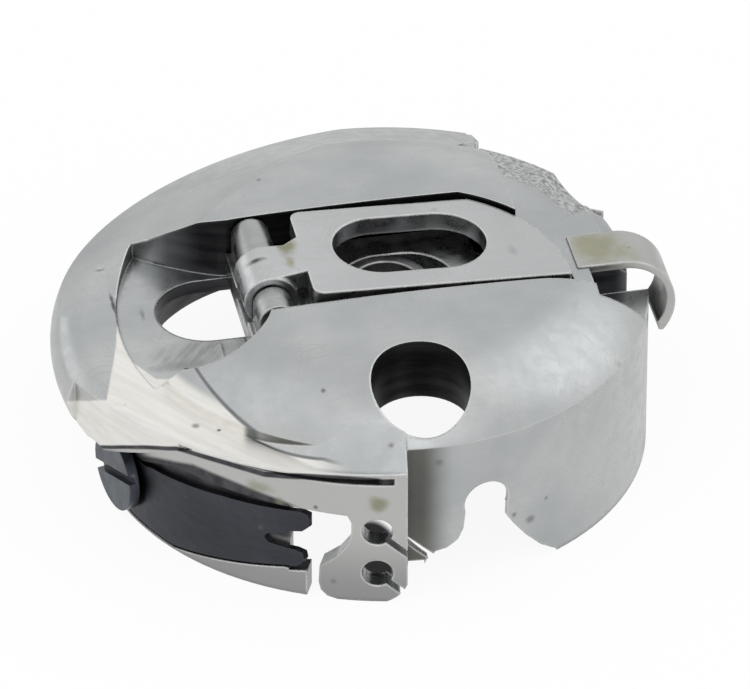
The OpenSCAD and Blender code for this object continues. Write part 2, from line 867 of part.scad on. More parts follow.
// Large slotted screw that clamps the leaf and sets its pressure
module tension_screw() {
  head_from = screw_face_r + head_gap;
  slot_w = 0.55;
  slot_deep = 0.4;
  color([0.3, 0.33, 0.37])
    rotate([0, 0, screw_angle])
      translate([0, 0, screw_z])
        rotate([0, 90, 0])
          difference() {
            union() {
              translate([0, 0, chamber_r + 0.15])
                cylinder(r = screw_r, h = head_from - chamber_r);
              translate([0, 0, head_from])
                cylinder(r = screw_head_r, h = screw_head_t);
            }
            rotate([0, 0, 20])
              translate([-slot_w / 2, -far / 2, head_from + screw_head_t - slot_deep])
                cube([slot_w, far, far]);
          }
}

case_body();
position_finger();
centre_sleeve();
latch_lever();
hinge_pin();
latch_slide();
slide_spring();
tension_spring();
tension_screw();
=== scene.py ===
import math
import bpy
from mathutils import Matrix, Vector

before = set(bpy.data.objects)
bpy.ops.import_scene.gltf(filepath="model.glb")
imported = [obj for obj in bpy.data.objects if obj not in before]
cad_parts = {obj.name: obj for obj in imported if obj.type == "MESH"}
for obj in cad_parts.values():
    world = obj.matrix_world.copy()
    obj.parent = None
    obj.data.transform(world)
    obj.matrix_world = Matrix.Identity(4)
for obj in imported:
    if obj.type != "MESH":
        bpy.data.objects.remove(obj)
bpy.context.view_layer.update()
print("bobbin case loaded from the frame")

mm = 0.001


# small helpers for node trees; a source is another node's socket, a number or a tuple

def feed(tree, socket, source):
    if isinstance(source, bpy.types.NodeSocket):
        tree.links.new(source, socket)
    elif socket.type == "RGBA":
        socket.default_value = (*source, 1.0)
    else:
        socket.default_value = source


def addNode(tree, kind, settings=None, **inputs):
    node = tree.nodes.new(kind)
    for key, value in (settings or {}).items():
        setattr(node, key, value)
    for key, source in inputs.items():
        feed(tree, node.inputs[key], source)
    return node


def noiseNode(tree, place, scale, detail, rough=0.5):
    noise = addNode(tree, "ShaderNodeTexNoise", Vector=place, Scale=scale, Detail=detail, Roughness=rough)
    return noise.outputs[0]


# more than two terms are taken one after another

def mathNode(tree, operation, *terms):
    result = terms[0]
    for term in terms[1:]:
        node = addNode(tree, "ShaderNodeMath", {"operation": operation})
        feed(tree, node.inputs[0], result)
        feed(tree, node.inputs[1], term)
        result = node.outputs[0]
    return result


def times(tree, *terms):
    return mathNode(tree, "MULTIPLY", *terms)


def plus(tree, *terms):
    return mathNode(tree, "ADD", *terms)


def minus(tree, first, second):
    return mathNode(tree, "SUBTRACT", first, second)


def most(tree, *terms):
    return mathNode(tree, "MAXIMUM", *terms)


def least(tree, *terms):
    return mathNode(tree, "MINIMUM", *terms)


def absolute(tree, value):
    return addNode(tree, "ShaderNodeMath", {"operation": "ABSOLUTE"}, Value=value).outputs[0]


def without(tree, mask):
    return minus(tree, 1.0, mask)


def vectorNode(tree, operation, first, second=None, result="Vector"):
    node = addNode(tree, "ShaderNodeVectorMath", {"operation": operation})
    feed(tree, node.inputs[0], first)
    if second is not None:
        feed(tree, node.inputs[1], second)
    return node.outputs[result]


def length(tree, vector):
    return vectorNode(tree, "LENGTH", vector, result="Value")


def along(tree, vector, direction):
    return vectorNode(tree, "DOT_PRODUCT", vector, direction, "Value")


# low up to start, high from end on, and a soft or straight change between them

def fade(tree, value, start, end, low=0.0, high=1.0, change="SMOOTHSTEP"):
    node = addNode(tree, "ShaderNodeMapRange", {"interpolation_type": change}, Value=value)
    for key, source in (("From Min", start), ("From Max", end), ("To Min", low), ("To Max", high)):
        feed(tree, node.inputs[key], source)
    return node.outputs["Result"]


def above(tree, value, limit, soft):
    return fade(tree, minus(tree, value, limit), -soft, soft)


def mixColour(tree, share, first, second):
    node = addNode(tree, "ShaderNodeMix", {"data_type": "RGBA"})
    colourSockets = [socket for socket in node.inputs if socket.type == "RGBA"]
    for socket, source in zip((node.inputs[0], *colourSockets), (share, first, second)):
        feed(tree, socket, source)
    return next(socket for socket in node.outputs if socket.type == "RGBA")


def mixNumber(tree, share, first, second):
    node = addNode(tree, "ShaderNodeMix", {"data_type": "FLOAT"}, Factor=share, A=first, B=second)
    return node.outputs["Result"]


# place turned first, then squeezed or stretched along each axis

def turnedPlace(tree, place, turn, stretch):
    turned = addNode(tree, "ShaderNodeVectorRotate", {"rotation_type": "EULER_XYZ"}, Vector=place,
                     Rotation=turn)
    return vectorNode(tree, "MULTIPLY", turned.outputs[0], stretch)


def separate(tree, vector):
    return addNode(tree, "ShaderNodeSeparateXYZ", Vector=vector).outputs


def newGroup(name, inputs, outputs):
    tree = bpy.data.node_groups.new(name, "ShaderNodeTree")
    for label, value in inputs.items():
        kind = "NodeSocketFloat" if isinstance(value, float) else "NodeSocketVector"
        tree.interface.new_socket(label, in_out="INPUT", socket_type=kind).default_value = value
    for label in outputs:
        tree.interface.new_socket(label, in_out="OUTPUT", socket_type="NodeSocketFloat")
    return tree, addNode(tree, "NodeGroupInput").outputs, addNode(tree, "NodeGroupOutput").inputs


def useGroup(tree, group, **inputs):
    node = addNode(tree, "ShaderNodeGroup", {"node_tree": group}, **inputs)
    return node.outputs


def clearTree(owner):
    owner.use_nodes = True
    owner.node_tree.nodes.clear()
    return owner.node_tree


# columns follow the links, so that a tree reads from left to right

def layOut(tree, columnWidth=190, rowHeight=160):
    sources = {node.name: [] for node in tree.nodes}
    for link in tree.links:
        sources[link.to_node.name].append(link.from_node.name)
    columns = {}

    def columnOf(name):
        if name not in columns:
            columns[name] = 1 + max((columnOf(source) for source in sources[name]), default=0)
        return columns[name]

    rows = {}
    for node in tree.nodes:
        column = columnOf(node.name)
        rows[column] = rows.get(column, 0) + 1
        node.location = (column * columnWidth, -rows[column] * rowHeight)


# shared effects; scales are per metre, as the object's own coordinates are

noPlace = (0.0, 0.0, 0.0)
evenly = (1.0, 1.0, 1.0)

scratchSet = {
    "lines": [{"turn": (0.3, 0.2, 0.5), "stretch": (1.0, 0.05, 0.07)},
              {"turn": (0.9, -0.4, 1.7), "stretch": (1.0, 0.05, 0.09)},
              {"turn": (-0.5, 0.7, 2.6), "stretch": (1.0, 0.05, 0.11)}],
    "detail": 2.0, "rough": 0.6, "lineAt": 0.52, "lineWidth": 0.012,
    "patchScale": 260.0, "patchDetail": 3.0, "patchBorder": (0.45, 0.62)}


def makeFineScratches():
    tree, given, made = newGroup(
        "fineScratches", {"Vector": noPlace, "Scale": 900.0, "Amount": 0.5}, ("Mask", "Height"))
    lines = []
    for line in scratchSet["lines"]:
        stretched = turnedPlace(tree, given["Vector"], line["turn"], line["stretch"])
        noise = noiseNode(tree, stretched, given["Scale"], scratchSet["detail"], scratchSet["rough"])
        away = absolute(tree, minus(tree, noise, scratchSet["lineAt"]))
        lines.append(fade(tree, away, scratchSet["lineWidth"], 0.0))
    patches = noiseNode(tree, given["Vector"], scratchSet["patchScale"], scratchSet["patchDetail"])
    mask = times(tree, most(tree, *lines),
                 fade(tree, patches, *scratchSet["patchBorder"]), given["Amount"])
    feed(tree, made["Mask"], mask)
    feed(tree, made["Height"], times(tree, mask, -1.0))
    layOut(tree)
    return tree


pitSet = {"core": 0.03, "smallest": 0.08, "sizeSpread": 0.28}


def makeSmallPits():
    tree, given, made = newGroup(
        "smallPits", {"Vector": noPlace, "Scale": 900.0, "Chance": 0.2}, ("Mask", "Height"))
    cells = addNode(tree, "ShaderNodeTexVoronoi", Vector=given["Vector"], Scale=given["Scale"])
    parts = addNode(tree, "ShaderNodeSeparateColor", Color=cells.outputs["Color"]).outputs
    chosen = mathNode(tree, "LESS_THAN", parts[0], given["Chance"])
    size = plus(tree, times(tree, parts[1], pitSet["sizeSpread"]), pitSet["smallest"])
    near = fade(tree, cells.outputs["Distance"], pitSet["core"], size, 1.0, 0.0)
    mask = times(tree, near, chosen)
    feed(tree, made["Mask"], mask)
    feed(tree, made["Height"], times(tree, mask, -1.0))
    layOut(tree)
    return tree


cloudSet = {"contrast": (0.3, 0.7), "rough": 0.55,
            "layers": {"Tone": {"finer": 1.0, "detail": 3.0}, "Fine": {"finer": 9.0, "detail": 5.0}}}


def makeCloudyTone():
    tree, given, made = newGroup("cloudyTone", {"Vector": noPlace, "Scale": 160.0}, ("Tone", "Fine"))
    for label, layer in cloudSet["layers"].items():
        scale = times(tree, given["Scale"], layer["finer"])
        noise = noiseNode(tree, given["Vector"], scale, layer["detail"], cloudSet["rough"])
        feed(tree, made[label], fade(tree, noise, *cloudSet["contrast"]))
    layOut(tree)
    return tree


brushSet = {"contrast": (0.3, 0.7), "detail": 3.0, "rough": 0.6}


def makeBrushLines():
    tree, given, made = newGroup(
        "brushLines", {"Vector": noPlace, "Scale": 4000.0, "Turn": noPlace, "Stretch": (0.04, 1.0, 1.0)},
        ("Lines",))
    stretched = turnedPlace(tree, given["Vector"], given["Turn"], given["Stretch"])
    noise = noiseNode(tree, stretched, given["Scale"], brushSet["detail"], brushSet["rough"])
    feed(tree, made["Lines"], fade(tree, noise, *brushSet["contrast"]))
    layOut(tree)
    return tree


spotSet = {"raggedScale": 1400.0, "raggedDetail": 3.0, "ragged": 0.9, "border": (1.45, 0.6)}


def makeColourSpot():
    tree, given, made = newGroup(
        "colourSpot", {"Vector": noPlace, "Place": noPlace, "Size": mm, "Stretch": evenly}, ("Mask",))
    away = vectorNode(tree, "SUBTRACT", given["Vector"], given["Place"])
    away = vectorNode(tree, "MULTIPLY", away, given["Stretch"])
    share = mathNode(tree, "DIVIDE", length(tree, away), given["Size"])
    noise = noiseNode(tree, given["Vector"], spotSet["raggedScale"], spotSet["raggedDetail"])
    share = plus(tree, share, times(tree, noise, spotSet["ragged"]))
    feed(tree, made["Mask"], fade(tree, share, *spotSet["border"]))
    layOut(tree)
    return tree


# painted highlight: base colour lightened along rounded edges, where the bevelled normal turns from the flat
# one, broken into patches
edgeHighlightSet = {"turn": (0.01, 0.2), "patches": (0.0, 0.6, 0.55, 1.0)}


def makeEdgeHighlight():
    tree, given, made = newGroup("edgeHighlight", {"Rounded": noPlace, "Flat": noPlace, "Tone": 0.5}, ("Mask",))
    turned = without(tree, along(tree, given["Rounded"], given["Flat"]))
    highlightBand = fade(tree, turned, *edgeHighlightSet["turn"])
    feed(tree, made["Mask"], times(tree, highlightBand, fade(tree, given["Tone"], *edgeHighlightSet["patches"])))
    layOut(tree)
    return tree


# Zones of the case body: where shade is painted dark, where the ground plateau gets a painted bright
# reflection, where it is cast rough or scooped.
# Lengths are in mm from the cup's axis and open rim. A border names a measure, where the zone starts
# and where it is full. A line is a slope and a height.

measureSet = {
    "perMetre": (1000.0, 1000.0, 1000.0), "level": (1.0, 1.0, 0.0), "wobble": 0.7, "slantWobble": 0.12,
    # across and slant run along the tab's front, so that one curve can cross wall and flange
    "across": (0.981, -0.196, 0.0), "slant": (0.117, 0.583, 0.804)}


def measureCase(tree, given):
    inMm = vectorNode(tree, "MULTIPLY", given["Vector"], measureSet["perMetre"])
    flat = vectorNode(tree, "MULTIPLY", inMm, measureSet["level"])
    wobble = times(tree, minus(tree, given["Ragged"], 0.5), measureSet["wobble"])
    here = {"place": inMm, "wobble": wobble}
    here["x"], here["y"], here["z"] = separate(tree, inMm)
    here["faceRight"], _, here["faceUp"] = separate(tree, given["Facing"])
    here["tilt"] = absolute(tree, here["faceUp"])
    here["faceOut"] = along(tree, vectorNode(tree, "NORMALIZE", flat), given["Facing"])
    here["radius"] = length(tree, flat)
    here["raggedRadius"] = plus(tree, here["radius"], wobble)
    here["across"] = along(tree, inMm, measureSet["across"])
    here["slant"] = plus(tree, along(tree, inMm, measureSet["slant"]),
                         times(tree, wobble, measureSet["slantWobble"]))
    return here


def within(tree, here, borders):
    return times(tree, *(fade(tree, here[name], *ends) for name, *ends in borders))


def lineAt(tree, value, line):
    slope, height = line
    return plus(tree, times(tree, value, slope), height)


# borders that more than one zone has

front = ("y", -2.4, -3.0)
outside = ("radius", 14.4, 14.5)
upright = ("tilt", 0.5, 0.3)
ahead = ("y", -4.9, -5.1)
plateEdge = (-0.244, 11.78)  # the dome's edge, its radius as a line over y

# painted shade: the cup's inside, the inner side walls and the channel walls are made near black, with faint
# streaks
recessPlan = {
    "chamber": [("radius", 13.5, 13.42), ("z", 8.6, 8.5), ("faceUp", 0.6, 0.3)],
    "innerSide": [("faceOut", -0.4, -0.7), upright],
    "channelWall": [upright, ("radius", 14.2, 12.4), ("z", 7.4, 7.6)],
    "deckEnd": [("faceRight", 0.7, 0.9), ("x", 7.0, 7.4)],
    "leftEnd": [("x", -12.0, -9.2, 0.72, 1.0)], "belowDeck": [("z", 8.6, 8.4)]}


def recessZone(tree, here):
    wall = times(tree, within(tree, here, recessPlan["channelWall"]),
                 without(tree, within(tree, here, recessPlan["deckEnd"])))
    hollow = most(tree, within(tree, here, recessPlan["chamber"]),
                  within(tree, here, recessPlan["innerSide"]), wall)
    depth = most(tree, within(tree, here, recessPlan["leftEnd"]),
                 within(tree, here, recessPlan["belowDeck"]))
    return times(tree, hollow, depth)


# painted shade: the thread groove's left part as a dark line, the dark band of shadow over the leaf and a
# dark line along the crease of the dome

groovePlan = {
    "grooveLines": ((-0.28, -4.02), (-0.07, -2.65)), "grooveTop": -0.88, "grooveSoft": 0.05,
    "grooveWidth": (-14.0, -3.0, 0.2, 0.34), "grooveReach": [front, outside, ("across", 0.0, -0.5)],
    "bandLines": ((-0.15, -3.4), (-0.4, -6.0)), "bandSoft": 0.12,
    "bandReach": [front, outside, ("z", 3.0, 3.5), ("across", -4.2, -5.4)],
    "creaseWidth": 0.12, "creaseSoft": 0.04,
    "creaseReach": [ahead, ("x", -5.0, -6.5, 0.0, 0.7), ("z", 8.3, 8.5)]}


def grooveZone(tree, here):
    steep, shallow = (lineAt(tree, here["across"], line) for line in groovePlan["grooveLines"])
    upper = least(tree, most(tree, steep, shallow), groovePlan["grooveTop"])
    overGroove = above(tree, here["slant"], upper, groovePlan["grooveSoft"])
    width = fade(tree, here["across"], *groovePlan["grooveWidth"], "LINEAR")
    lower = minus(tree, upper, width)
    groove = times(tree, above(tree, here["slant"], lower, groovePlan["grooveSoft"]),
                   without(tree, overGroove), within(tree, here, groovePlan["grooveReach"]))

    bandTop = least(tree, *(lineAt(tree, here["across"], line) for line in groovePlan["bandLines"]))
    band = times(tree, without(tree, above(tree, here["slant"], bandTop, groovePlan["bandSoft"])),
                 within(tree, here, groovePlan["bandReach"]))

    creaseOuter = lineAt(tree, here["y"], plateEdge)
    creaseInner = minus(tree, creaseOuter, groovePlan["creaseWidth"])
    crease = times(tree, above(tree, here["radius"], creaseInner, groovePlan["creaseSoft"]),
                   without(tree, above(tree, here["radius"], creaseOuter, groovePlan["creaseSoft"])),
                   within(tree, here, groovePlan["creaseReach"]))
    return most(tree, groove, band, crease), overGroove


# the ground plateau at the left front, rougher than the rest; its near-white colour is a painted reflection
# of the light above

plateauPlan = {
    "ragged": 0.3, "sideLine": (-1.0, 1.66), "sideSoft": 0.08,
    "backLine": (-0.13, 15.33), "backSoft": 0.06, "backReach": [("slant", 6.75, 6.55), ("z", 8.0, 8.3)],
    "dishRadius": 14.75, "dishSoft": 0.04, "plateSoft": 0.05,
    "cornerLine": (-0.7, -8.7), "cornerHeight": 2.75, "cornerSoft": 0.08,
    "cornerReach": [("x", -10.4, -10.9), ("z", 8.0, 8.1), ("faceUp", 0.5, 0.7)],
    "reach": [("z", 9.9, 9.5), ("faceUp", -0.3, -0.1), ("x", -4.6, -7.5)]}


def plateauZone(tree, here, overGroove):
    ragged = times(tree, here["wobble"], plateauPlan["ragged"])
    frontShare = within(tree, here, [front])
    sideLine = lineAt(tree, here["slant"], plateauPlan["sideLine"])
    side = times(tree, above(tree, sideLine, ragged, plateauPlan["sideSoft"]), frontShare)
    backLine = plus(tree, lineAt(tree, here["slant"], plateauPlan["backLine"]), here["across"])
    back = times(tree, above(tree, backLine, ragged, plateauPlan["backSoft"]),
                 within(tree, here, plateauPlan["backReach"]))

    besideDish = above(tree, here["radius"], plateauPlan["dishRadius"], plateauPlan["dishSoft"])
    besidePlate = above(tree, here["radius"], lineAt(tree, here["y"], plateEdge), plateauPlan["plateSoft"])
    inner = mixNumber(tree, within(tree, here, [ahead]), besideDish, besidePlate)
    cornerRise = most(tree, lineAt(tree, here["across"], plateauPlan["cornerLine"]), 0.0)
    cornerTop = plus(tree, cornerRise, plateauPlan["cornerHeight"])
    corner = times(tree, above(tree, cornerTop, here["slant"], plateauPlan["cornerSoft"]),
                   within(tree, here, plateauPlan["cornerReach"]))
    return times(tree, most(tree, side, back), most(tree, inner, corner),
                 most(tree, overGroove, without(tree, frontShare)),
                 within(tree, here, plateauPlan["reach"]))


scoopPlan = {"centre": (-11.2, -2.3, 8.3), "stretch": (0.42, 0.72, 0.0), "border": (1.25, 0.7),
             "reach": [("z", 9.2, 8.8), ("radius", 14.75, 14.6)]}


def scoopZone(tree, here):
    away = vectorNode(tree, "SUBTRACT", here["place"], scoopPlan["centre"])
    away = length(tree, vectorNode(tree, "MULTIPLY", away, scoopPlan["stretch"]))
    return times(tree, fade(tree, plus(tree, away, here["wobble"]), *scoopPlan["border"]),
                 within(tree, here, scoopPlan["reach"]))


# zones that borders alone describe

castingBorders = [("raggedRadius", 10.6, 11.4), ("x", 7.5, 7.9), ("y", 2.4, 4.2), ("z", 8.2, 8.5)]
skirtBorders = [upright, ("z", 8.7, 8.4), outside, front]
shadeBorders = [upright, ("x", 1.0, -1.0), ("y", -10.0, -12.0), ("radius", 14.5, 14.4),
                ("radius", 14.2, 14.3)]
# painted shade: the skirt darker towards the floor
riseBorders = [("z", 0.3, 5.0)]


def makeCaseZones():
    tree, given, made = newGroup(
        "caseZones", {"Vector": noPlace, "Facing": noPlace, "Ragged": 0.5},
        ("Recess", "Plateau", "Casting", "Scoop", "Skirt", "Shade", "Groove", "Rise"))
    here = measureCase(tree, given)
    groove, overGroove = grooveZone(tree, here)
    feed(tree, made["Recess"], recessZone(tree, here))
    feed(tree, made["Groove"], groove)
    feed(tree, made["Plateau"], plateauZone(tree, here, overGroove))
    feed(tree, made["Scoop"], scoopZone(tree, here))
    feed(tree, made["Casting"], within(tree, here, castingBorders))
    feed(tree, made["Skirt"], within(tree, here, skirtBorders))
    feed(tree, made["Shade"], within(tree, here, shadeBorders))
    feed(tree, made["Rise"], within(tree, here, riseBorders))
    layOut(tree)
    return tree


fineScratches = makeFineScratches()
smallPits = makeSmallPits()
cloudyTone = makeCloudyTone()
brushLines = makeBrushLines()
colourSpot = makeColourSpot()
edgeHighlight = makeEdgeHighlight()
caseZones = makeCaseZones()
print("shared finishes built")


def addMarks(tree, place, look, pits, colour):
    colour = mixColour(tree, pits["Mask"], colour, look["pitColour"])
    for spot in look["spots"]:
        centre = tuple(value * mm for value in spot["at"])
        stain = useGroup(tree, colourSpot, Vector=place, Place=centre, Size=spot["size"] * mm,
                         Stretch=spot.get("stretch", evenly))
        strength = times(tree, stain["Mask"], spot["strength"])
        colour = mixColour(tree, strength, colour, spot["colour"])
    return colour


# the case body's zones over its plain steel; each takes its tone from lines, clouds or height. The skirt's
# darkening towards the floor, the shade strip and the groove zone are painted shade; the plateau's
# near-white is a painted reflection.

def layZones(tree, place, masks, zones, clouds, lines, surface):
    colour, rough, height = surface
    casting = zones["casting"]
    cast = noiseNode(tree, place, casting["scale"], casting["detail"], casting["rough"])
    castTone = fade(tree, cast, *casting["contrast"])
    tones = {"Skirt": masks["Rise"], "Shade": clouds["Tone"], "Casting": castTone, "Scoop": lines["scoop"],
             "Plateau": lines["plateau"], "Groove": clouds["Fine"]}
    for label, tone in tones.items():
        values = zones[label.lower()]
        share = times(tree, masks[label], values["strength"])
        colour = mixColour(tree, share, colour, mixColour(tree, tone, values["dark"], values["light"]))
        rough = mixNumber(tree, share, rough, values["roughness"])
    height = mixNumber(tree, masks["Casting"], height, times(tree, castTone, casting["depth"]))
    scoopLines = times(tree, lines["scoop"], masks["Scoop"], zones["scoop"]["depth"])
    return colour, rough, plus(tree, height, scoopLines)


# one steel recipe, with each piece's own values

def steelMaterial(name, look, zones=None):
    material = bpy.data.materials.new(name)
    tree = clearTree(material)
    coords = addNode(tree, "ShaderNodeTexCoord")
    place = coords.outputs["Object"]
    clouds = useGroup(tree, cloudyTone, Vector=place, Scale=look["cloudScale"])
    scratches = useGroup(tree, fineScratches, Vector=place, Scale=look["scratchScale"],
                         Amount=look["scratches"])
    pits = useGroup(tree, smallPits, Vector=place, Scale=look["pitScale"], Chance=look["pitChance"])
    brush = useGroup(tree, brushLines, Vector=place, Scale=look["brushScale"], Turn=look["brushTurn"],
                     Stretch=look["brushStretch"])
    bevel = addNode(tree, "ShaderNodeBevel", {"samples": look["bevelSamples"]},
                    Radius=look["edgeRadius"] * mm)
    geometry = addNode(tree, "ShaderNodeNewGeometry")
    edge = useGroup(tree, edgeHighlight, Rounded=bevel.outputs[0], Flat=geometry.outputs["Normal"],
                    Tone=clouds["Fine"])

    colour = mixColour(tree, clouds["Tone"], look["shade"], look["colour"])
    brushShare = times(tree, brush["Lines"], look["brushTone"])
    colour = mixColour(tree, brushShare, colour, look["brushColour"])
    scratchShare = times(tree, scratches["Mask"], look["scratchTone"])
    colour = mixColour(tree, scratchShare, colour, look["scratchColour"])
    rough = fade(tree, clouds["Fine"], 0.0, 1.0, look["roughness"] - look["roughSpread"],
                 look["roughness"] + look["roughSpread"])
    rough = plus(tree, rough, times(tree, scratches["Mask"], look["scratchRough"]))
    height = plus(tree, times(tree, scratches["Height"], look["scratchDepth"]),
                  times(tree, pits["Height"], look["pitDepth"]),
                  times(tree, brush["Lines"], look["brushDepth"]),
                  times(tree, clouds["Tone"], look["waveDepth"]))
    # painted highlight along rounded edges
    edgeShare = times(tree, edge["Mask"], look["edgeTone"])
    # painted shade: colour darkened in crevices, corners and between parts, from ambient occlusion
    crevice = addNode(tree, "ShaderNodeAmbientOcclusion", {"samples": look["creviceSamples"]},
                      Distance=look["creviceReach"] * mm)
    creviceShade = fade(tree, crevice.outputs["AO"], *look["creviceBorder"], look["creviceShade"], 0.0)

    if zones:
        masks = useGroup(tree, caseZones, Vector=place, Facing=coords.outputs["Normal"],
                         Ragged=clouds["Tone"])
        lines = {}
        for key in ("plateau", "scoop", "recess"):
            lines[key] = useGroup(tree, brushLines, Vector=place, Scale=zones[key]["scale"],
                                  Turn=zones[key]["turn"], Stretch=zones[key]["stretch"])["Lines"]
        colour, rough, height = layZones(tree, place, masks, zones, clouds, lines, (colour, rough, height))
        # no painted edge highlight within the painted groove shade
        edgeShare = times(tree, edgeShare, without(tree, masks["Groove"]))
        # no painted crevice shade on the plateau
        creviceShade = times(tree, creviceShade, without(tree, masks["Plateau"]))
    colour = addMarks(tree, place, look, pits, colour)
    colour = mixColour(tree, edgeShare, colour, look["edgeColour"])
    colour = mixColour(tree, creviceShade, colour, look["creviceShadeColour"])
    # painted shade laid last over the hollows
    if zones:
        recess = zones["recess"]
        inner = mixColour(tree, lines["recess"], recess["dark"], recess["light"])
        colour = mixColour(tree, masks["Recess"], colour, inner)
        rough = mixNumber(tree, masks["Recess"], rough, recess["roughness"])

    bump = addNode(tree, "ShaderNodeBump", Strength=look["bumpStrength"], Distance=look["bumpDistance"] * mm,
                   Height=height, Normal=bevel.outputs[0])
    shader = addNode(tree, "ShaderNodeBsdfPrincipled", Roughness=rough, Metallic=look["metallic"],
                     Normal=bump.outputs[0])
    feed(tree, shader.inputs["Base Color"], colour)
    addNode(tree, "ShaderNodeOutputMaterial", Surface=shader.outputs[0])
    layOut(tree)
    return material


# edgeRadius, creviceReach, bumpDistance and the spots' places and sizes are in mm

baseLook = {
    "colour": (0.6, 0.615, 0.615), "shade": (0.46, 0.48, 0.485), "cloudScale": 130.0,
    "scratches": 0.3, "scratchScale": 1500.0, "scratchColour": (0.36, 0.37, 0.37), "scratchTone": 0.6,
    "scratchRough": 0.15, "scratchDepth": 0.5,
    "pitChance": 0.05, "pitScale": 900.0, "pitColour": (0.2, 0.2, 0.2), "pitDepth": 1.0,
    "brushScale": 5000.0, "brushTurn": (0.0, 0.0, -0.1), "brushStretch": (0.05, 1.0, 1.0), "brushTone": 0.2,
    "brushColour": (0.46, 0.47, 0.47), "brushDepth": 0.05, "waveDepth": 0.3,
    "metallic": 1.0, "roughness": 0.3, "roughSpread": 0.06, "bumpStrength": 0.3, "bumpDistance": 0.02,
    # edgeRadius rounds the edges' shading; edgeTone and edgeColour paint a highlight along them
    "edgeRadius": 0.2, "bevelSamples": 4, "edgeTone": 0.9, "edgeColour": (0.95, 0.95, 0.95),
    # painted shade in crevices: its reach, samples, border, strength and colour
    "creviceReach": 0.5, "creviceSamples": 6, "creviceBorder": (0.25, 0.85), "creviceShade": 0.7,
    "creviceShadeColour": (0.07, 0.07, 0.07), "spots": []}

grey = (0.2, 0.2, 0.2)

# brown stains and dots on the tab, nicks on flange and dish, faint marks on the cup's right wall; a thin
# dark line on the flange and a broad dark patch in the dish are painted shade

bodyLook = dict(baseLook, spots=[
    {"at": (-3.5, -15.2, 6.5), "size": 0.75, "strength": 0.75, "colour": (0.27, 0.26, 0.16)},
    {"at": (-9.4, -12.5, 6.6), "size": 0.8, "strength": 0.6, "colour": (0.3, 0.29, 0.2),
     "stretch": (0.7, 0.7, 1.4)},
    {"at": (-8.4, -13.1, 5.9), "size": 0.5, "strength": 0.6, "colour": (0.28, 0.27, 0.19)},
    {"at": (-2.5, -14.0, 9.45), "size": 0.26, "strength": 0.8, "colour": (0.14, 0.12, 0.1)},
    {"at": (-5.8, -13.3, 9.0), "size": 0.2, "strength": 0.8, "colour": (0.12, 0.12, 0.1)},
    {"at": (-5.8, -14.5, 1.2), "size": 0.25, "strength": 0.7, "colour": grey},
    # painted shadow: thin dark line at the flange's left edge
    {"at": (-14.65, 2.8, 8.6), "size": 0.42, "strength": 0.9, "colour": (0.08, 0.08, 0.08),
     "stretch": (2.6, 0.26, 0.5)},
    {"at": (-14.8, 6.1, 8.6), "size": 0.3, "strength": 0.7, "colour": grey, "stretch": (0.7, 2.0, 1.0)},
    {"at": (-13.2, 1.7, 8.4), "size": 0.42, "strength": 0.6, "colour": grey, "stretch": (2.2, 0.6, 0.0)},
    # painted shade: broad dark patch at the front of the dish's scoop
    {"at": (-12.1, -3.3, 8.3), "size": 1.5, "strength": 0.6, "colour": (0.26, 0.27, 0.27),
     "stretch": (0.7, 2.2, 0.5)},
    {"at": (5.25, -13.35, 2.9), "size": 0.4, "strength": 0.7, "colour": grey},
    {"at": (4.3, -13.7, 3.6), "size": 0.22, "strength": 0.7, "colour": grey},
    {"at": (6.2, -12.9, 3.9), "size": 0.2, "strength": 0.6, "colour": grey},
    {"at": (6.7, -12.7, 10.2), "size": 0.35, "strength": 0.55, "colour": (0.33, 0.34, 0.34),
     "stretch": (1.0, 1.0, 0.5)}])

bodyZones = {
    # painted reflection on the rougher ground plateau
    "plateau": {"dark": (0.88, 0.87, 0.83), "light": (0.97, 0.96, 0.92), "strength": 1.0, "roughness": 0.5,
                "scale": 2600.0, "turn": (0.0, 0.0, 0.9), "stretch": (0.08, 1.0, 1.0)},
    "casting": {"dark": (0.27, 0.275, 0.28), "light": (0.68, 0.69, 0.69), "strength": 0.85, "roughness": 0.5,
                "scale": 3600.0, "detail": 5.0, "rough": 0.65, "contrast": (0.38, 0.6), "depth": 5.0},
    "scoop": {"dark": (0.34, 0.35, 0.35), "light": (0.54, 0.55, 0.55), "strength": 0.85, "roughness": 0.38,
              "depth": 1.2, "scale": 2600.0, "turn": (0.0, 0.0, 2.2), "stretch": (0.12, 1.0, 1.0)},
    # darker towards the floor: painted shade
    "skirt": {"dark": (0.33, 0.335, 0.33), "light": (0.57, 0.57, 0.55), "strength": 0.9, "roughness": 0.34},
    "shade": {"dark": (0.07, 0.07, 0.06), "light": (0.15, 0.15, 0.13), "strength": 0.92, "roughness": 0.45},
    # painted shade of the groove, the band over the leaf and the crease
    "groove": {"dark": (0.03, 0.03, 0.035), "light": (0.09, 0.09, 0.1), "strength": 0.95, "roughness": 0.45},
    # painted shade in the hollows
    "recess": {"dark": (0.025, 0.024, 0.027), "light": (0.07, 0.07, 0.075), "roughness": 0.42,
               "scale": 1500.0, "turn": noPlace, "stretch": (0.12, 0.12, 1.0)}}

leverLook = dict(
    baseLook, colour=(0.61, 0.625, 0.63), shade=(0.54, 0.55, 0.555), brushTone=0.15, pitChance=0.03, spots=[
        {"at": (-5.4, 1.0, 12.2), "size": 1.1, "strength": 0.95, "colour": (0.29, 0.29, 0.19),
         "stretch": (1.5, 0.6, 0.3)},
        {"at": (-5.4, -0.6, 12.1), "size": 0.6, "strength": 0.8, "colour": (0.33, 0.32, 0.2),
         "stretch": (1.6, 0.7, 0.3)},
        {"at": (-7.2, -0.1, 12.5), "size": 0.8, "strength": 0.95, "colour": (0.05, 0.05, 0.05),
         "stretch": (1.2, 2.6, 0.4)},
        {"at": (6.8, -1.2, 12.3), "size": 0.6, "strength": 0.3, "colour": grey, "stretch": (1.5, 0.7, 1.0)}])

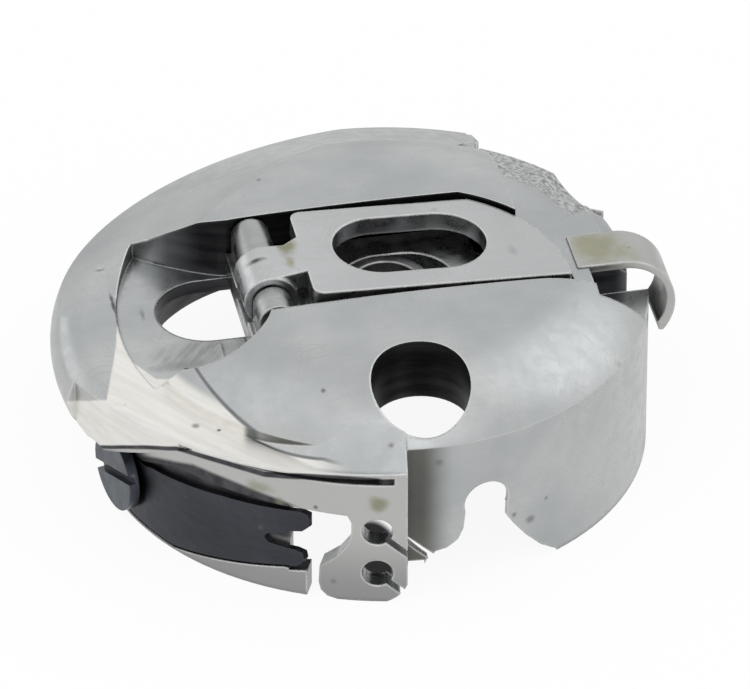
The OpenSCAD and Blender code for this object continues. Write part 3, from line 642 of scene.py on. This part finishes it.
fingerLook = dict(baseLook, colour=(0.6, 0.6, 0.58), shade=(0.5, 0.51, 0.49), roughness=0.34, spots=[
    {"at": (11.6, -0.6, 11.2), "size": 2.3, "strength": 0.8, "colour": (0.36, 0.35, 0.24)},
    {"at": (13.0, -1.6, 11.0), "size": 1.2, "strength": 0.45, "colour": (0.4, 0.39, 0.29)}])

sleeveLook = dict(baseLook, colour=(0.34, 0.34, 0.35), shade=(0.22, 0.22, 0.23), roughness=0.36,
                  brushStretch=(1.0, 1.0, 0.05), brushTone=0.4, brushColour=(0.12, 0.12, 0.13))

slideLook = dict(baseLook, colour=(0.54, 0.55, 0.55), shade=(0.42, 0.43, 0.43), brushTone=0.3,
                 brushColour=(0.3, 0.3, 0.31))

pinLook = dict(baseLook, colour=(0.5, 0.52, 0.53), shade=(0.42, 0.43, 0.44), brushStretch=(1.0, 0.05, 1.0),
               brushTone=0.3)

wireLook = dict(baseLook, colour=(0.3, 0.3, 0.32), shade=(0.2, 0.2, 0.21), edgeRadius=0.02)

blueLook = dict(
    baseLook, colour=(0.07, 0.073, 0.085), shade=(0.05, 0.052, 0.062), scratchColour=(0.13, 0.135, 0.15),
    pitColour=(0.11, 0.11, 0.12), pitChance=0.04, brushColour=(0.085, 0.085, 0.095), brushTone=0.3,
    brushTurn=noPlace, brushStretch=(0.1, 0.1, 1.0), roughness=0.42, roughSpread=0.05,
    edgeColour=(0.16, 0.165, 0.18), edgeTone=0.5, edgeRadius=0.06, spots=[
        {"at": (-12.6, -9.0, 4.0), "size": 0.35, "strength": 0.6, "colour": (0.2, 0.2, 0.21)},
        {"at": (-9.3, -12.4, 3.9), "size": 0.3, "strength": 0.5, "colour": (0.18, 0.18, 0.19)}])

screwLook = dict(
    blueLook, colour=(0.105, 0.12, 0.14), shade=(0.06, 0.067, 0.08), scratchColour=(0.2, 0.22, 0.24),
    roughness=0.34, edgeColour=(0.2, 0.22, 0.24), spots=[])

finishes = {
    "case_body": ("handPolishedCase", bodyLook, bodyZones),
    "latch_lever": ("polishedLever", leverLook, None),
    "position_finger": ("brazedFinger", fingerLook, None),
    "centre_sleeve": ("turnedSleeve", sleeveLook, None),
    "latch_slide": ("groundSlide", slideLook, None),
    "hinge_pin": ("groundPin", pinLook, None),
    "slide_spring": ("springWire", wireLook, None),
    "tension_spring": ("bluedLeaf", blueLook, None),
    "tension_screw": ("bluedScrew", screwLook, None)}

for nodeName, (materialName, look, zones) in finishes.items():
    finish = steelMaterial(materialName, look, zones)
    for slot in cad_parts[nodeName].material_slots:
        slot.material = finish
print("finishes laid on", len(finishes), "pieces")


# camera; turn and height in degrees, distance in metres, lens and sensor in mm, shift in shares of the width

cameraSet = {"turn": 11.3, "height": 36.5, "distance": 0.48, "lens": 417.0, "sensor": 36.0,
             "shift": (-11 / 750, 85 / 750), "clip": (0.01, 10.0)}

turn, rise = math.radians(cameraSet["turn"]), math.radians(cameraSet["height"])
towards = Vector((-math.sin(turn) * math.cos(rise), -math.cos(turn) * math.cos(rise), math.sin(rise)))
cameraData = bpy.data.cameras.new("camera")
cameraData.sensor_width = cameraSet["sensor"]
cameraData.lens = cameraSet["lens"]
cameraData.shift_x, cameraData.shift_y = cameraSet["shift"]
cameraData.clip_start, cameraData.clip_end = cameraSet["clip"]
camera = bpy.data.objects.new("camera", cameraData)
bpy.context.scene.collection.objects.link(camera)
camera.location = towards * cameraSet["distance"]
camera.rotation_mode = "QUATERNION"
camera.rotation_quaternion = (-towards).to_track_quat("-Z", "Y")
bpy.context.scene.camera = camera
print("camera placed")


# floor in metres; mirrors see it a little darker than the camera does, and darker still behind the case

white = (1.0, 1.0, 1.0)
floorSet = {
    "size": 1.2, "drop": 0.00002, "colour": (0.88, 0.88, 0.88), "seenWhite": 0.92, "mirrorLoss": 0.2,
    "behindLoss": (0.02, 0.06, 1.0, 1.9),
    # the painted shadow patch under the case, seen behind the thread holes
    "patchAt": (-0.0026, -0.0109, 0.0), "patchReach": (0.0013, 0.003, 1.0), "patchBorder": (1.15, 0.85),
    "patchDepth": 0.97, "patchColour": (0.02, 0.02, 0.02)}


def seenShare(tree, path):
    return most(tree, path["Is Camera Ray"], path["Is Glossy Ray"], path["Is Transmission Ray"])


def mixShaders(tree, share, first, second):
    mix = addNode(tree, "ShaderNodeMixShader")
    for socket, source in zip(mix.inputs, (share, first, second)):
        feed(tree, socket, source)
    return mix.outputs[0]


def paperMaterial():
    material = bpy.data.materials.new("palePaper")
    tree = clearTree(material)
    path = addNode(tree, "ShaderNodeLightPath").outputs
    place = addNode(tree, "ShaderNodeTexCoord").outputs["Object"]
    mirrored = times(tree, path["Is Glossy Ray"], floorSet["mirrorLoss"])
    behind = times(tree, fade(tree, separate(tree, place)[1], *floorSet["behindLoss"]), mirrored)
    # painted shadow under the case: less glow and a dark colour
    away = vectorNode(tree, "SUBTRACT", place, floorSet["patchAt"])
    away = vectorNode(tree, "DIVIDE", away, floorSet["patchReach"])
    patch = fade(tree, length(tree, away), *floorSet["patchBorder"])
    lit = without(tree, times(tree, patch, floorSet["patchDepth"]))
    glow = addNode(tree, "ShaderNodeEmission", Color=white,
                   Strength=times(tree, without(tree, behind), lit))
    diffuse = addNode(tree, "ShaderNodeBsdfDiffuse",
                      Color=mixColour(tree, patch, floorSet["colour"], floorSet["patchColour"]))
    share = times(tree, seenShare(tree, path), floorSet["seenWhite"])
    surface = mixShaders(tree, share, diffuse.outputs[0], glow.outputs[0])
    addNode(tree, "ShaderNodeOutputMaterial", Surface=surface)
    layOut(tree)
    return material


def makeFloor():
    half = floorSet["size"] / 2
    corners = [(-half, -half, 0), (half, -half, 0), (half, half, 0), (-half, half, 0)]
    mesh = bpy.data.meshes.new("paperFloor")
    mesh.from_pydata(corners, [], [(0, 1, 2, 3)])
    mesh.materials.append(paperMaterial())
    floor = bpy.data.objects.new("paperFloor", mesh)
    floor.location.z = -floorSet["drop"]
    bpy.context.scene.collection.objects.link(floor)


# the room's light: an even level and soft brighter panels, each towards one direction

skySet = {
    "seenWhite": 1.0, "level": 0.79,
    "panels": [
        {"at": (0.72, 0.15, 0.68), "border": (0.84, 0.99), "gain": 0.58},
        {"at": (-0.04, -0.62, 0.79), "border": (0.9, 0.99), "gain": 0.5},
        {"at": (-0.6, 0.0, 0.8), "border": (0.88, 0.99), "gain": 0.24},
        {"at": (0.16, 0.79, 0.59), "border": (0.9, 0.99), "gain": 0.06},
        {"at": (-0.6, 0.78, 0.14), "border": (0.95, 0.995), "gain": 0.4}]}


def makeSky():
    world = bpy.data.worlds.new("studio")
    bpy.context.scene.world = world
    tree = clearTree(world)
    direction = addNode(tree, "ShaderNodeTexCoord").outputs["Generated"]
    parts = []
    for panel in skySet["panels"]:
        nearness = along(tree, direction, tuple(Vector(panel["at"]).normalized()))
        parts.append(fade(tree, nearness, *panel["border"], 0.0, panel["gain"]))
    room = addNode(tree, "ShaderNodeBackground", Color=white,
                   Strength=plus(tree, *parts, skySet["level"]))
    seen = addNode(tree, "ShaderNodeBackground", Color=white, Strength=skySet["seenWhite"])
    share = addNode(tree, "ShaderNodeLightPath").outputs["Is Camera Ray"]
    addNode(tree, "ShaderNodeOutputWorld", Surface=mixShaders(tree, share, room.outputs[0], seen.outputs[0]))
    layOut(tree)


lamps = {
    "softLeft": {"place": (-0.35, -0.2, 0.5), "size": (0.35, 0.35), "power": 0.7},
    "softRight": {"place": (0.4, -0.3, 0.35), "size": (0.3, 0.3), "power": 0.35}}
lampTarget = (0.0, 0.0, 0.006)


def makeLamp(name, values):
    data = bpy.data.lights.new(name, "AREA")
    data.shape = "RECTANGLE"
    data.size, data.size_y = values["size"]
    data.energy = values["power"]
    lamp = bpy.data.objects.new(name, data)
    bpy.context.scene.collection.objects.link(lamp)
    lamp.location = values["place"]
    lamp.visible_glossy = False
    lamp.rotation_mode = "QUATERNION"
    lamp.rotation_quaternion = (Vector(lampTarget) - Vector(values["place"])).to_track_quat("-Z", "Y")


makeFloor()
makeSky()
for lampName, values in lamps.items():
    makeLamp(lampName, values)
bpy.context.scene.view_settings.view_transform = "Standard"
print("floor, sky and lamps ready")
